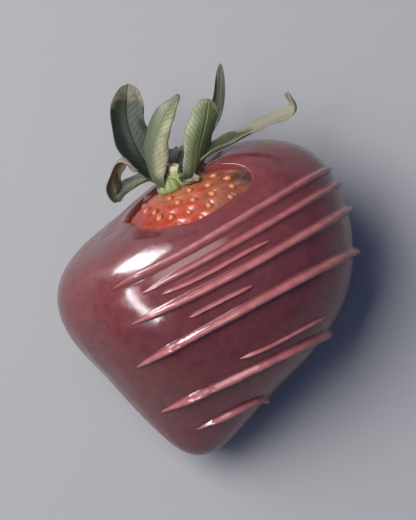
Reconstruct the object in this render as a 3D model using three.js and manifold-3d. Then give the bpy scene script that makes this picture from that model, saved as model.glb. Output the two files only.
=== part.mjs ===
// A strawberry dipped in milk chocolate, with thin threads of chocolate thrown across it, lying
// on its side on the flat spot where the coating set. Three solids: the fruit, the chocolate
// around it and the green calyx on its crown.
// Millimetres. +Z is up, +Y runs from the fruit's tip to its crown, +X is across the fruit, and
// the origin is on the surface it lies on, below the middle of the whole.

import * as THREE from "three";
import Module from "manifold-3d";
import { mergeVertices } from "three/addons/utils/BufferGeometryUtils.js";

const wasm = await Module();
wasm.setup();

// ---- Driving dimensions: millimetres, and degrees where the name ends in _DEG ----

// The fruit: broad and a little flat, with one shoulder standing higher than the other.
const FRUIT_WIDTH = 42.2;
const FRUIT_DEPTH = 35.6;
const FRUIT_LENGTH = 43.4;
const TAPER = 0.59; // 0 is an even egg, 1 a sharp cone
const HIGH_SHOULDER = 8.4; // how far the +X shoulder stands above the middle
const SHOULDER_FADE = 0.32; // how far past the middle its lift reaches
const LOW_SHOULDER_CUT = 3.5; // how much more the -X shoulder falls away beside the calyx
const LOW_SHOULDER_PLACE = 0.35; // as an angle from the crown
const LOW_SHOULDER_SPREAD = 0.38;
const FLANK_BULGE = 3.2; // swelling of the +X flank, at the widest place
const FLANK_PLACE = 1.62;
const FLANK_SPREAD = 0.4;
const DIMPLE_DEPTH = 1.5; // the hollow under the calyx
const DIMPLE_SPREAD = 0.35;
const CROWN_SHIFT = -3.45; // the calyx sits towards the low shoulder
const CROWN_SPREAD = 0.7;
const TIP_BEND = -4.3; // the tip leans the same way
const TIP_BEND_POWER = 1.36;
const LOBES = [
  { count: 3, depth: 0.006, turn: 2.37 },
  { count: 5, depth: 0.006, turn: 3.97 },
];

// How it lies: crown end raised, so that the lower flank is level.
const LEAN_DEG = 18;
const SWING_DEG = 6.8;
const MIDDLE = new THREE.Vector3(0, 0, 16.1); // the fruit's middle, above the surface

// The chocolate coat. Its rim is the loop where the dip ended, as an angle from the crown: close
// to the calyx round the back, a little off it on the low side, and hanging low on the upper side.
const COAT_THICKNESS = 1.5;
const RIM_THICKNESS = 0.8; // it ran thin at the rim
const RIM_THICKENING = 0.17; // the angle past the rim over which it comes to its full thickness
const FIT_GAP = 0.3; // clearance between touching solids
const RIM_MEAN = 0.24;
const RIM_TILT = 0.06;
const RIM_TILT_DEG = 185; // where the tilt takes it furthest from the calyx
const RIM_DROP = 0.428;
const RIM_DROP_DEG = 63; // where it hangs lowest
// How the drop ends to either side of there: at once by the high shoulder, and slowly away from it.
const RIM_DROP_HIGH_SIDE = { reachDeg: 30.7, power: 3.57 };
const RIM_DROP_LOW_SIDE = { reachDeg: 60.1, power: 2.73 };
const RIM_WAVES = [
  { count: 5, depth: 0.005, turn: 0.4 },
  { count: 8, depth: 0.004, turn: 2.0 },
];
const TIP_CAP = 0.09; // the angle that the coat's last ring keeps from the tip

// The foot: the thin puddle of chocolate that spread where the berry was laid down.
const FOOT_HALF_WIDTH = 7.4;
const FOOT_HALF_LENGTH = 10.5;
const FOOT_HEIGHT = 2.2;
const FOOT_CENTRE = new THREE.Vector2(-2.2, 5.2); // from below the fruit's middle
const FOOT_ROOT = -1; // it is made from below the surface, then cut level with it
// Its slope from the edge inwards: share of the half width and length, and height.
const FOOT_SLOPE = [
  { share: 0.99, height: FOOT_ROOT },
  { share: 1, height: 0.15 },
  { share: 0.98, height: 0.4 },
  { share: 0.9, height: 0.62 },
  { share: 0.72, height: 1.36 },
  { share: 0.5, height: FOOT_HEIGHT },
];
const FOOT_WAVES = [
  { count: 3, depth: 0.05, turn: 0.6 },
  { count: 7, depth: 0.035, turn: 2 },
];

// Threads of drizzle, straight as seen from above. start is how far along its line each one
// begins and across how far off the fruit's middle the line is; drift is how much the line
// slants from the others; end is the slope of the far flank that it has reached when it ends,
// 90 on top and below 0 underneath; bow is how much it curves.
const THREADS_TURN_DEG = 28.5;
const THREAD_HEIGHT = 0.7; // share of the thread's width
const THREAD_HEAD = [-0.05, 0.12]; // shares of its length over which it swells from a point
const THREAD_TAIL = [0.85, 1.03]; // and over which it thins again
const THREAD_TAIL_THINNING = 0.6;
const THREADS = [
  { start: -12, across: 9.3, drift: 0.3, end: 8, bow: -0.6, width: 1.35 },
  { start: -8.5, across: 6.4, drift: 1.4, end: -34, bow: -0.65, width: 1.25 },
  { start: -6, across: 4.9, drift: -2.2, end: 60, bow: -0.3, width: 0.8 },
  { start: -12, across: 3.2, drift: -0.2, end: -18, bow: -0.8, width: 1.4 },
  { start: -4, across: -0.1, drift: -1.2, end: 72, bow: 0, width: 0.7 },
  { start: -14.5, across: -2.7, drift: -0.1, end: -40, bow: -0.1, width: 1.45 },
  { start: 0, across: -9.1, drift: -2.1, end: 30, bow: -0.2, width: 0.7 },
  { start: -14.5, across: -10.4, drift: -2.3, end: -28, bow: -0.15, width: 1.4 },
  { start: -11, across: -15.4, drift: -2.7, end: -12, bow: 0.2, width: 1.2 },
];

// The calyx: a small green dome with a cut stalk and a crown of sepals.
const HUB_RADIUS = 2.5;
const HUB_HEIGHT = 1.9;
const STALK_RADIUS = 0.95;
const STALK_LENGTH = 3.4;
const STALK_LEAN_DEG = 24; // above the level
const STALK_SWING_DEG = 3;
const SEPAL_THICKNESS = 0.5;
const SEPAL_TIP_THICKNESS = 0.275;
const SEPAL_EDGE_THINNING = 0.45;
const SEPAL_HOLLOW = 0.42; // rise of the edge over the middle, as a share of the half width
const SEPAL_WAVE = { height: 0.25, along: 9, across: 2.2 };
// Half width at a share of the length: narrow at the disc, and full near a third.
const SEPAL_OUTLINE = { full: 0.94, start: 0.05, rise: 0.55, least: 0.1 };
const SEPAL_ROOT = { out: 0.8, up: 0.3 }; // shares of the dome's radius and height
// turn is where the sepal leaves the dome, seen from the stalk's end with 0 on the +X side and
// 90 on top; fall is how evenly it narrows to its tip, below 0.5 being blunt; route is what its
// middle line passes through, measured from the crown, the last being its tip; roll turns the
// blade about that line.
const SEPALS = [
  {
    turn: 165,
    width: 5.4,
    fall: 0.75,
    roll: 45,
    route: [[-3.3, 1.6, 1.5], [-3.3, 5.8, 3.7], [-2.1, 9.9, 5.3], [0.6, 13.6, 6.3]],
  },
  {
    turn: 30,
    width: 4.1,
    fall: 0.34,
    roll: -40,
    route: [[2.9, 1.7, 2.9], [3.9, 6.1, 4.7], [4.8, 9.7, 5.2], [5.3, 13.0, 4.8]],
  },
  {
    turn: 300,
    width: 2.3,
    fall: 0.6,
    roll: 40,
    route: [[4.2, 7.4, -1.2], [6.6, 12.6, -1.4], [7.1, 19.0, 0]],
  },
  {
    turn: 8,
    width: 2.9,
    fall: 0.45,
    roll: 20,
    route: [[5.0, 4.6, 3.0], [9.7, 7.0, 3.2], [14.0, 9.2, 3.2], [18.6, 11.6, 4.4], [17.4, 14.0, 5.6]],
  },
  {
    turn: 205,
    width: 2.8,
    fall: 0.5,
    roll: -30,
    route: [
      [-3.6, 1.2, -0.8],
      [-6.8, 0, -1.2],
      [-9.1, -1.4, -0.6],
      [-9.7, 1.0, 1.2],
      [-7.9, 3.9, 3.2],
      [-5.7, 1.9, 4.0],
    ],
  },
  {
    turn: 226,
    width: 5.0,
    fall: 0.36,
    roll: -40,
    route: [[-4.9, 4.4, -1.4], [-7.3, 10.4, -0.4], [-7.2, 15.7, 1.4]],
  },
  { turn: 252, width: 4.8, fall: 0.8, roll: 0, route: [[-3.4, 3.8, -4.8], [-5.2, 5.8, -10.4]] },
  { turn: 278, width: 5.0, fall: 0.8, roll: 0, route: [[0.2, 4.8, -5.0], [0.5, 6.8, -10.8]] },
  { turn: 322, width: 4.6, fall: 0.8, roll: 0, route: [[2.6, 5.6, -3.4], [5.4, 9.6, -8.0]] },
  { turn: 24, width: 2.4, fall: 0.6, roll: 0, route: [[2.4, 0.4, 3.2], [3.8, 0.6, 5.4]] },
];

// Achenes, the fruit's seeds, on the bare skin inside the rim.
const SEED_LENGTH = 1.5;
const SEED_WIDTH = 0.95;
const SEED_PROUD = 0.3;
const SEED_SPACING = 3.0;
const SEED_RIM_CLEARANCE = 1.2;
const SEED_HUB_CLEARANCE = 0.9;

// ---- Small helpers ----

const radians = THREE.MathUtils.degToRad;
const { lerp, smoothstep } = THREE.MathUtils;
const UP = new THREE.Vector3(0, 0, 1);

// The fruit's own directions, in the frame of the whole.
const lean = radians(LEAN_DEG);
const swing = radians(SWING_DEG);
const ACROSS = new THREE.Vector3(Math.cos(swing), Math.sin(swing), 0);
const ALONG = new THREE.Vector3(
  -Math.sin(swing) * Math.cos(lean),
  Math.cos(swing) * Math.cos(lean),
  Math.sin(lean),
);
const UPPER = new THREE.Vector3().crossVectors(ACROSS, ALONG);

// A manifold-3d solid from a closed three.js geometry.
function solid(geometry) {
  const bare = new THREE.BufferGeometry();
  const flat = geometry.index ? geometry.toNonIndexed() : geometry;
  bare.setAttribute("position", flat.getAttribute("position"));
  const merged = mergeVertices(bare, 1e-4);
  return new wasm.Manifold(
    new wasm.Mesh({
      numProp: 3,
      vertProperties: merged.getAttribute("position").array,
      triVerts: new Uint32Array(merged.index.array),
    }),
  );
}

// The three.js geometry of a manifold-3d solid.
function geometryOf(made) {
  const mesh = made.getMesh();
  const corners = new Float32Array(mesh.numVert * 3);
  for (let i = 0; i < mesh.numVert; i++) {
    corners.set(mesh.vertProperties.subarray(i * mesh.numProp, i * mesh.numProp + 3), i * 3);
  }
  return new THREE.BufferGeometry()
    .setAttribute("position", new THREE.BufferAttribute(corners, 3))
    .setIndex(new THREE.BufferAttribute(mesh.triVerts, 1))
    .toNonIndexed();
}

// A closed skin over rows of points: rings between a first and a last single point, each
// running clockwise as seen from the first. Each four corners are split by the shorter diagonal.
function ringedGeometry(first, rings, last) {
  const points = [first, ...rings.flat(), last];
  const count = rings[0].length;
  const at = (row, column) => 1 + row * count + (column % count);
  const faces = [];
  for (let column = 0; column < count; column++) {
    faces.push(0, at(0, column + 1), at(0, column));
    for (let row = 0; row + 1 < rings.length; row++) {
      const [a, b] = [at(row, column), at(row, column + 1)];
      const [c, d] = [at(row + 1, column), at(row + 1, column + 1)];
      const shortFirst = points[a].distanceTo(points[d]) < points[b].distanceTo(points[c]);
      faces.push(...(shortFirst ? [a, d, c, a, b, d] : [a, b, c, b, d, c]));
    }
    faces.push(points.length - 1, at(rings.length - 1, column), at(rings.length - 1, column + 1));
  }
  return new THREE.BufferGeometry().setFromPoints(points).setIndex(faces);
}

// A closed thin sheet from two like grids of points, both split into triangles alike.
function sheetGeometry(upper, lower) {
  const rows = upper.length;
  const columns = upper[0].length;
  const points = [...upper.flat(), ...lower.flat()];
  const under = rows * columns;
  const at = (row, column) => row * columns + column;
  const faces = [];
  for (let row = 0; row + 1 < rows; row++) {
    for (let column = 0; column + 1 < columns; column++) {
      const [a, b] = [at(row, column), at(row, column + 1)];
      const [c, d] = [at(row + 1, column), at(row + 1, column + 1)];
      faces.push(a, b, d, a, d, c);
      faces.push(under + a, under + d, under + b, under + a, under + c, under + d);
    }
  }
  const bottom = Array.from({ length: columns }, (_, i) => at(0, i));
  const right = Array.from({ length: rows - 1 }, (_, i) => at(i + 1, columns - 1));
  const top = Array.from({ length: columns - 1 }, (_, i) => at(rows - 1, columns - 2 - i));
  const left = Array.from({ length: rows - 2 }, (_, i) => at(rows - 2 - i, 0));
  const border = [...bottom, ...right, ...top, ...left];
  border.forEach((a, i) => {
    const b = border[(i + 1) % border.length];
    faces.push(b, a, under + a, b, under + a, under + b);
  });
  return new THREE.BufferGeometry().setFromPoints(points).setIndex(faces);
}

// ---- The fruit's surface, which the coat and the calyx follow ----

// The greatest value of sin(a) * (1 + TAPER * cos(a)), so that the width comes out true.
const fullestCosine = (Math.sqrt(1 + 8 * TAPER ** 2) - 1) / (4 * TAPER);
const FULLEST = Math.sqrt(1 - fullestCosine ** 2) * (1 + TAPER * fullestCosine);

// A gentle hump of height 1 about a place.
function hump(x, place, spread) {
  return Math.exp(-(((x - place) / spread) ** 2));
}

// Unevenness round a ring: a few waves added up.
function waves(list, around) {
  return list.reduce((sum, wave) => sum + wave.depth * Math.sin(wave.count * around + wave.turn), 0);
}

// A point of the skin. fromCrown runs from 0 at the calyx to PI at the tip; around is 0 at the
// high shoulder and a quarter turn on top.
function skin(fromCrown, around) {
  const cosine = Math.cos(fromCrown);
  const sine = Math.sin(fromCrown);
  const lobes = 1 + waves(LOBES, around) * sine ** 2;
  const girth = ((sine * (1 + TAPER * cosine)) / FULLEST) * lobes;
  const side = girth * Math.cos(around);
  const lift = Math.max(0, (cosine + SHOULDER_FADE) / (1 + SHOULDER_FADE));
  const bulge = hump(fromCrown, FLANK_PLACE, FLANK_SPREAD) * ((1 + Math.cos(around)) / 2) ** 2;
  const dimple = hump(fromCrown, 0, DIMPLE_SPREAD);
  const lowSide = (1 - dimple) * ((1 - Math.cos(around)) / 2) ** 2;
  const across =
    (FRUIT_WIDTH / 2) * side +
    FLANK_BULGE * bulge +
    CROWN_SHIFT * hump(fromCrown, 0, CROWN_SPREAD) +
    TIP_BEND * ((1 - cosine) / 2) ** TIP_BEND_POWER;
  const along =
    (FRUIT_LENGTH / 2) * cosine +
    HIGH_SHOULDER * side * lift -
    LOW_SHOULDER_CUT * hump(fromCrown, LOW_SHOULDER_PLACE, LOW_SHOULDER_SPREAD) * lowSide -
    DIMPLE_DEPTH * dimple;
  return MIDDLE.clone()
    .addScaledVector(ACROSS, across)
    .addScaledVector(ALONG, along)
    .addScaledVector(UPPER, (FRUIT_DEPTH / 2) * girth * Math.sin(around));
}

const NORMAL_STEP = 0.01;

// The way out of the fruit, square to the skin.
function skinNormal(fromCrown, around) {
  const step = NORMAL_STEP;
  const a = THREE.MathUtils.clamp(fromCrown, step, Math.PI - step);
  const down = skin(a + step, around).sub(skin(a - step, around));
  const round = skin(a, around + step).sub(skin(a, around - step));
  return round.cross(down).normalize();
}

// The skin moved out by so many millimetres.
function grownSkin(fromCrown, around, grown) {
  return skin(fromCrown, around).addScaledVector(skinNormal(fromCrown, around), grown);
}

// Rings of the grown skin between two places. Where they start and how far out they are may
// change from place to place.
function skinRings(rows, columns, startAt, endAt, grownAt) {
  return Array.from({ length: rows }, (_, row) =>
    Array.from({ length: columns }, (_, column) => {
      const around = (2 * Math.PI * column) / columns;
      const share = rows > 1 ? row / (rows - 1) : 0;
      const fromCrown = lerp(startAt(around), endAt, share);
      return grownSkin(fromCrown, around, grownAt(fromCrown, around));
    }),
  );
}

const SKIN_ROWS = 21;
const SKIN_COLUMNS = 36;

function wholeSkin(grown) {
  const step = Math.PI / (SKIN_ROWS + 1);
  const rings = skinRings(SKIN_ROWS, SKIN_COLUMNS, () => step, Math.PI - step, () => grown);
  return solid(ringedGeometry(grownSkin(0, 0, grown), rings, grownSkin(Math.PI, 0, grown)));
}

// Where the chocolate ends, as an angle from the crown.
function rimAt(around) {
  const halfTurn = Math.PI;
  const onward = around - radians(RIM_DROP_DEG);
  const offDrop = THREE.MathUtils.euclideanModulo(onward + halfTurn, 2 * halfTurn) - halfTurn;
  const { reachDeg, power } = offDrop < 0 ? RIM_DROP_HIGH_SIDE : RIM_DROP_LOW_SIDE;
  const drop = RIM_DROP * Math.exp(-((Math.abs(offDrop) / radians(reachDeg)) ** power));
  const tilt = RIM_TILT * Math.cos(around - radians(RIM_TILT_DEG));
  return RIM_MEAN + tilt + drop + waves(RIM_WAVES, around);
}

// ---- The chocolate: coat, drizzle and foot, joined, and the fruit's place cut out ----

const COAT_ROWS = 25;
const COAT_COLUMNS = 46;
const LIP_STEPS = 3;
const LIP_ROOT = -0.8; // the lip's inner edge, sunk in the fruit until its place is cut out

// How far the outside of the coat stands off the skin.
function coatWall(fromCrown, around) {
  const thickening = smoothstep(fromCrown - rimAt(around), 0, RIM_THICKENING);
  return FIT_GAP + lerp(RIM_THICKNESS, COAT_THICKNESS, thickening);
}

// The outside of the coat: a rounded lip at the rim, then the outer wall to the tip.
function coatBlank() {
  const root = skinRings(1, COAT_COLUMNS, rimAt, 0, () => LIP_ROOT);
  const lip = Array.from({ length: LIP_STEPS }, (_, step) => {
    const turn = Math.PI * (1 - (step + 0.5) / LIP_STEPS);
    const back = (Math.sin(turn) * RIM_THICKNESS) / FRUIT_WIDTH;
    const grown = FIT_GAP + (RIM_THICKNESS * (1 + Math.cos(turn))) / 2;
    return skinRings(1, COAT_COLUMNS, (around) => rimAt(around) - back, 0, () => grown).flat();
  });
  const outer = skinRings(COAT_ROWS, COAT_COLUMNS, rimAt, Math.PI - TIP_CAP, coatWall);
  const tip = grownSkin(Math.PI, 0, coatWall(Math.PI, 0));
  return solid(ringedGeometry(MIDDLE, [...root, ...lip, ...outer], tip));
}

const THREAD_STEP_DEG = 7;
const THREAD_SIDES = 6;

// A thread's places on the coat. It lies in one upright plane, as it fell, so each place is
// found by looking in at the coat from outside, level by level, within that plane.
function threadPlaces(thread, coat) {
  const drift = Math.atan2(thread.drift, FRUIT_WIDTH);
  const turn = radians(THREADS_TURN_DEG);
  const start = new THREE.Vector3(thread.start, thread.across, 0).applyAxisAngle(UP, turn);
  const run = new THREE.Vector3(1, 0, 0).applyAxisAngle(UP, turn + drift);
  const off = new THREE.Vector3(0, 1, 0).applyAxisAngle(UP, turn + drift);
  const centre = MIDDLE.clone().addScaledVector(off, start.dot(off));
  const far = 2 * FRUIT_LENGTH; // outside the coat, wherever it is looked at from
  const looker = new THREE.Raycaster();
  const look = (from, way) => {
    looker.set(from, way);
    return looker.intersectObject(coat)[0];
  };
  const above = look(start.setZ(far), UP.clone().negate()).point.sub(centre);
  const startAngle = Math.atan2(above.z, above.dot(run));
  const endAngle = radians(thread.end);
  const steps = Math.ceil((startAngle - endAngle) / radians(THREAD_STEP_DEG));
  return Array.from({ length: steps + 1 }, (_, step) => {
    const share = step / steps;
    const angle = lerp(startAngle, endAngle, share);
    const ray = run.clone().multiplyScalar(Math.cos(angle)).setZ(Math.sin(angle));
    const from = centre.clone().addScaledVector(ray, far);
    from.addScaledVector(off, thread.bow * Math.sin(1.5 * Math.PI * share));
    const { point, face } = look(from, ray.negate());
    return { share, point, normal: face.normal.clone() };
  });
}

// One thread: a round ridge, half sunk in the coat and thin at both ends.
function threadSolid(thread, coat) {
  const places = threadPlaces(thread, coat);
  const rings = places.map(({ share, point, normal }, i) => {
    const before = places[Math.max(0, i - 1)].point;
    const after = places[Math.min(places.length - 1, i + 1)].point;
    const ahead = after.clone().sub(before).normalize();
    const side = new THREE.Vector3().crossVectors(ahead, normal).normalize();
    const out = new THREE.Vector3().crossVectors(side, ahead);
    const thinned = 1 - THREAD_TAIL_THINNING * smoothstep(share, ...THREAD_TAIL);
    const swell = smoothstep(share, ...THREAD_HEAD) * thinned;
    return Array.from({ length: THREAD_SIDES }, (_, k) => {
      const angle = (2 * Math.PI * k) / THREAD_SIDES;
      return point
        .clone()
        .addScaledVector(side, (thread.width / 2) * swell * Math.sin(angle))
        .addScaledVector(out, thread.width * THREAD_HEIGHT * swell * Math.cos(angle));
    });
  });
  return solid(ringedGeometry(places[0].point, rings, places[places.length - 1].point));
}

// The foot: a low uneven mound with its edge on the surface.
const FOOT_COLUMNS = 36;

function footSolid() {
  const rings = FOOT_SLOPE.map(({ share, height }) =>
    Array.from({ length: FOOT_COLUMNS }, (_, column) => {
      const around = (2 * Math.PI * column) / FOOT_COLUMNS;
      const out = share * (1 + waves(FOOT_WAVES, around));
      return new THREE.Vector3(
        FOOT_CENTRE.x + FOOT_HALF_WIDTH * out * Math.cos(around),
        FOOT_CENTRE.y + FOOT_HALF_LENGTH * out * Math.sin(around),
        height,
      );
    }),
  );
  const centre = (height) => new THREE.Vector3(FOOT_CENTRE.x, FOOT_CENTRE.y, height);
  return solid(ringedGeometry(centre(FOOT_ROOT), rings, centre(FOOT_HEIGHT)));
}

// Everything below the surface that the berry lies on.
function belowSurface() {
  const size = 4 * FRUIT_LENGTH;
  return solid(new THREE.BoxGeometry(size, size, size).translate(0, 0, -size / 2));
}

function chocolateSolid() {
  const blank = coatBlank();
  const coat = new THREE.Mesh(geometryOf(blank));
  let made = blank.add(footSolid());
  for (const thread of THREADS) made = made.add(threadSolid(thread, coat));
  return made.subtract(wholeSkin(FIT_GAP)).subtract(belowSurface());
}

// ---- The fruit, with the seeds that show ----

const GOLDEN_ANGLE = Math.PI * (3 - Math.sqrt(5));

const SPIRAL_PACKING = 0.56; // reach of the first seed in a spiral with a spacing of 1
const CROWN_REACH = 0.64 * FRUIT_WIDTH; // millimetres along the skin for a radian, by the crown
const SEED_TRIES = 90; // enough to pass the rim all round

// Seeds sit in a golden-angle spiral, evenly spaced, between the calyx and the rim.
function seedPlaces() {
  const places = [];
  for (let n = 1; n < SEED_TRIES; n++) {
    const reach = SEED_SPACING * SPIRAL_PACKING * Math.sqrt(n);
    const around = n * GOLDEN_ANGLE;
    const fromCrown = reach / CROWN_REACH;
    const limit = rimAt(around) - SEED_RIM_CLEARANCE / (FRUIT_WIDTH / 2);
    if (reach > HUB_RADIUS + SEED_HUB_CLEARANCE && fromCrown < limit) {
      places.push({ fromCrown, around });
    }
  }
  return places;
}

function seedSolid({ fromCrown, around }) {
  const out = skinNormal(fromCrown, around);
  const down = skin(fromCrown + NORMAL_STEP, around).sub(skin(fromCrown, around));
  const side = new THREE.Vector3().crossVectors(down, out).normalize();
  const length = new THREE.Vector3().crossVectors(out, side).normalize();
  const sunk = grownSkin(fromCrown, around, SEED_PROUD - SEED_WIDTH / 2);
  const frame = new THREE.Matrix4().makeBasis(side, length, out).setPosition(sunk);
  const grain = new THREE.OctahedronGeometry(0.5, 1).scale(SEED_WIDTH, SEED_LENGTH, SEED_WIDTH);
  return solid(grain.applyMatrix4(frame));
}

function fruitSolid() {
  let made = wholeSkin(0);
  for (const place of seedPlaces()) made = made.add(seedSolid(place));
  return made;
}

// ---- The calyx ----

const SEPAL_ROWS = 10;
const SEPAL_COLUMNS = 5;

// The stalk's direction, and the two directions square to it.
const stalkLean = radians(STALK_LEAN_DEG);
const stalkSwing = radians(STALK_SWING_DEG);
const STALK = new THREE.Vector3(
  -Math.sin(stalkSwing) * Math.cos(stalkLean),
  Math.cos(stalkSwing) * Math.cos(stalkLean),
  Math.sin(stalkLean),
);
const STALK_RIGHT = new THREE.Vector3(Math.cos(stalkSwing), Math.sin(stalkSwing), 0);
const CROWN = grownSkin(0, 0, FIT_GAP);
const HUB_AXIS = skinNormal(0, 0);

function bladeHalfWidth(sepal, share) {
  const { full, start, rise, least } = SEPAL_OUTLINE;
  return full * sepal.width * (share + start) ** rise * (1 - share) ** sepal.fall + least;
}

// One sepal: two like faces a little apart, hollowed along the middle and wavy at the edge.
// It runs from the dome along its route, with the blade square to the run.
function sepalSolid(sepal) {
  const out = STALK_RIGHT.clone().applyAxisAngle(STALK, radians(-sepal.turn));
  out.projectOnPlane(HUB_AXIS).normalize();
  const root = CROWN.clone()
    .addScaledVector(HUB_AXIS, HUB_HEIGHT * SEPAL_ROOT.up)
    .addScaledVector(out, HUB_RADIUS * SEPAL_ROOT.out);
  const through = sepal.route.map((place) => new THREE.Vector3(...place).add(CROWN));
  const line = new THREE.CatmullRomCurve3([root, ...through], false, "centripetal");
  const round = new THREE.Vector3().crossVectors(out, HUB_AXIS);
  const face = (raised) =>
    Array.from({ length: SEPAL_ROWS }, (_, row) => {
      const share = row / (SEPAL_ROWS - 1);
      const ahead = line.getTangentAt(share);
      const side = round.clone().addScaledVector(ahead, -round.dot(ahead)).normalize();
      side.applyAxisAngle(ahead, radians(sepal.roll) * smoothstep(share, 0, 0.5));
      const up = new THREE.Vector3().crossVectors(side, ahead);
      const half = bladeHalfWidth(sepal, share);
      const thick = lerp(SEPAL_THICKNESS, SEPAL_TIP_THICKNESS, share);
      return Array.from({ length: SEPAL_COLUMNS }, (_, column) => {
        const v = (2 * column) / (SEPAL_COLUMNS - 1) - 1;
        const phase = SEPAL_WAVE.along * share + SEPAL_WAVE.across * v + sepal.turn;
        const wave = SEPAL_WAVE.height * Math.sin(phase) * Math.abs(v);
        const hollow = SEPAL_HOLLOW * half * v * v;
        const layer = raised * thick * (1 - SEPAL_EDGE_THINNING * v * v);
        return line
          .getPointAt(share)
          .addScaledVector(side, half * v)
          .addScaledVector(up, hollow + wave + layer);
      });
    });
  return solid(sheetGeometry(face(0.5), face(-0.5)));
}

// A turned piece on the crown: a profile of radius and height, turned about an axis.
function turnedOnCrown(profile, sides, axis) {
  const outline = profile.map(([radius, height]) => new THREE.Vector2(radius, height));
  const toAxis = new THREE.Quaternion().setFromUnitVectors(new THREE.Vector3(0, 1, 0), axis);
  const turned = new THREE.LatheGeometry(outline, sides).applyQuaternion(toAxis);
  return solid(turned.translate(CROWN.x, CROWN.y, CROWN.z));
}

// The dome that the sepals grow from, square to the skin and rooted below it.
function hubSolid() {
  const profile = [
    [0, -1],
    [HUB_RADIUS * 0.9, -1],
    [HUB_RADIUS, HUB_HEIGHT * 0.2],
    [HUB_RADIUS * 0.82, HUB_HEIGHT * 0.62],
    [HUB_RADIUS * 0.5, HUB_HEIGHT * 0.95],
    [0, HUB_HEIGHT],
  ];
  return turnedOnCrown(profile, 16, HUB_AXIS);
}

// The cut stalk, slightly flared where it was cut.
function stalkSolid() {
  const profile = [
    [0, 0],
    [STALK_RADIUS * 1.15, 0],
    [STALK_RADIUS * 0.92, STALK_LENGTH * 0.5],
    [STALK_RADIUS, STALK_LENGTH * 0.93],
    [STALK_RADIUS * 0.8, STALK_LENGTH],
    [0, STALK_LENGTH * 0.97],
  ];
  return turnedOnCrown(profile, 10, STALK);
}

function calyxSolid() {
  let made = hubSolid().add(stalkSolid());
  for (const sepal of SEPALS) made = made.add(sepalSolid(sepal));
  return made.subtract(wholeSkin(FIT_GAP));
}

// ---- The whole ----

const MATERIALS = {
  fruit: new THREE.MeshStandardMaterial({ color: 0xb8402c, roughness: 0.35, metalness: 0 }),
  chocolate_coat: new THREE.MeshStandardMaterial({ color: 0x70403a, roughness: 0.28, metalness: 0 }),
  calyx: new THREE.MeshStandardMaterial({ color: 0x6f7c45, roughness: 0.6, metalness: 0 }),
};

function part(name, made) {
  const mesh = new THREE.Mesh(geometryOf(made), MATERIALS[name]);
  mesh.name = name;
  return mesh;
}

const strawberry = new THREE.Group();
strawberry.add(
  part("fruit", fruitSolid()),
  part("chocolate_coat", chocolateSolid()),
  part("calyx", calyxSolid()),
);

// Bring the middle of the whole over the origin.
const reach = new THREE.Box3().setFromObject(strawberry).getCenter(new THREE.Vector3());
strawberry.position.set(-reach.x, -reach.y, 0);

export default strawberry;
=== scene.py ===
# A strawberry dipped in milk chocolate and drizzled with the same chocolate, lying on its side.
# The sections follow the making: the fruit and its seeds, the calyx, the coat and its foot,
# the drizzle, and then the table, the light and the camera.
# Shapes are worked out in millimetres and made in metres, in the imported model's frame.

import math

import bpy
import numpy as np
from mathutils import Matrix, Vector, noise
from mathutils.bvhtree import BVHTree


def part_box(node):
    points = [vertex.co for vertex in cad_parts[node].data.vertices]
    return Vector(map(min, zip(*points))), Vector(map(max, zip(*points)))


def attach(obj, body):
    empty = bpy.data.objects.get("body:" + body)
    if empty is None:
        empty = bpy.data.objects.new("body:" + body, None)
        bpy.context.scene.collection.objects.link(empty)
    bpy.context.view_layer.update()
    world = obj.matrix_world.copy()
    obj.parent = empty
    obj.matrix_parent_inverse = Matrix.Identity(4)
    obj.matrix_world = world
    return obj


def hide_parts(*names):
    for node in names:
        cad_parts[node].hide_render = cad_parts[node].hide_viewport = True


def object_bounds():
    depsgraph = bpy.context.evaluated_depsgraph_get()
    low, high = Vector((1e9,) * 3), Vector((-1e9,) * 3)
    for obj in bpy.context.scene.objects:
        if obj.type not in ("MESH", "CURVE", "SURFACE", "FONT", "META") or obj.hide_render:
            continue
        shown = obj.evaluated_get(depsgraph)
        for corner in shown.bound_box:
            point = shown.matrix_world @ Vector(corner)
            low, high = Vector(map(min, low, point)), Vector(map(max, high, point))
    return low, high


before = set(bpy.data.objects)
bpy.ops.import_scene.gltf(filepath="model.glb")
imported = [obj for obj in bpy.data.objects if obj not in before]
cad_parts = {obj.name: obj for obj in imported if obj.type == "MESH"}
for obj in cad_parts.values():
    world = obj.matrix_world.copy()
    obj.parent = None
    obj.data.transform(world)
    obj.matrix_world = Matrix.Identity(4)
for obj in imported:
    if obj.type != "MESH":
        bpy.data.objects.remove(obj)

CAD_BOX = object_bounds()
MM = 0.001

# ---- The fruit ----
# A whole strawberry, broad and a little flat, one shoulder higher than the other. Only the
# collar of bare skin round its crown stays in sight: moist, red to orange and brown across it,
# paler at the calyx, and dimpled round each seed.

FRUIT_WIDTH = 42.2
FRUIT_DEPTH = 35.6
FRUIT_LENGTH = 43.4
TAPER = 0.59
HIGH_SHOULDER = 8.4
SHOULDER_FADE = 0.32
LOW_SHOULDER_CUT = 3.5
LOW_SHOULDER_PLACE = 0.35
LOW_SHOULDER_SPREAD = 0.38
FLANK_BULGE = 3.2
FLANK_PLACE = 1.62
FLANK_SPREAD = 0.4
DIMPLE_DEPTH = 1.5
DIMPLE_SPREAD = 0.35
CROWN_SHIFT = -3.45
CROWN_SPREAD = 0.7
TIP_BEND = -4.3
TIP_BEND_POWER = 1.36
LOBES = ((3, 0.006, 2.37), (5, 0.006, 3.97))
LEAN = math.radians(18)
SWING = math.radians(6.8)
MIDDLE_HEIGHT = 16.1


def level(swing):
    """The level direction at an angle from +X."""
    return np.array((math.cos(swing), math.sin(swing), 0.0))


def rising(swing, lean):
    """The direction at an angle from +Y, leaning up."""
    return np.array((
        -math.sin(swing) * math.cos(lean),
        math.cos(swing) * math.cos(lean),
        math.sin(lean),
    ))


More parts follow.
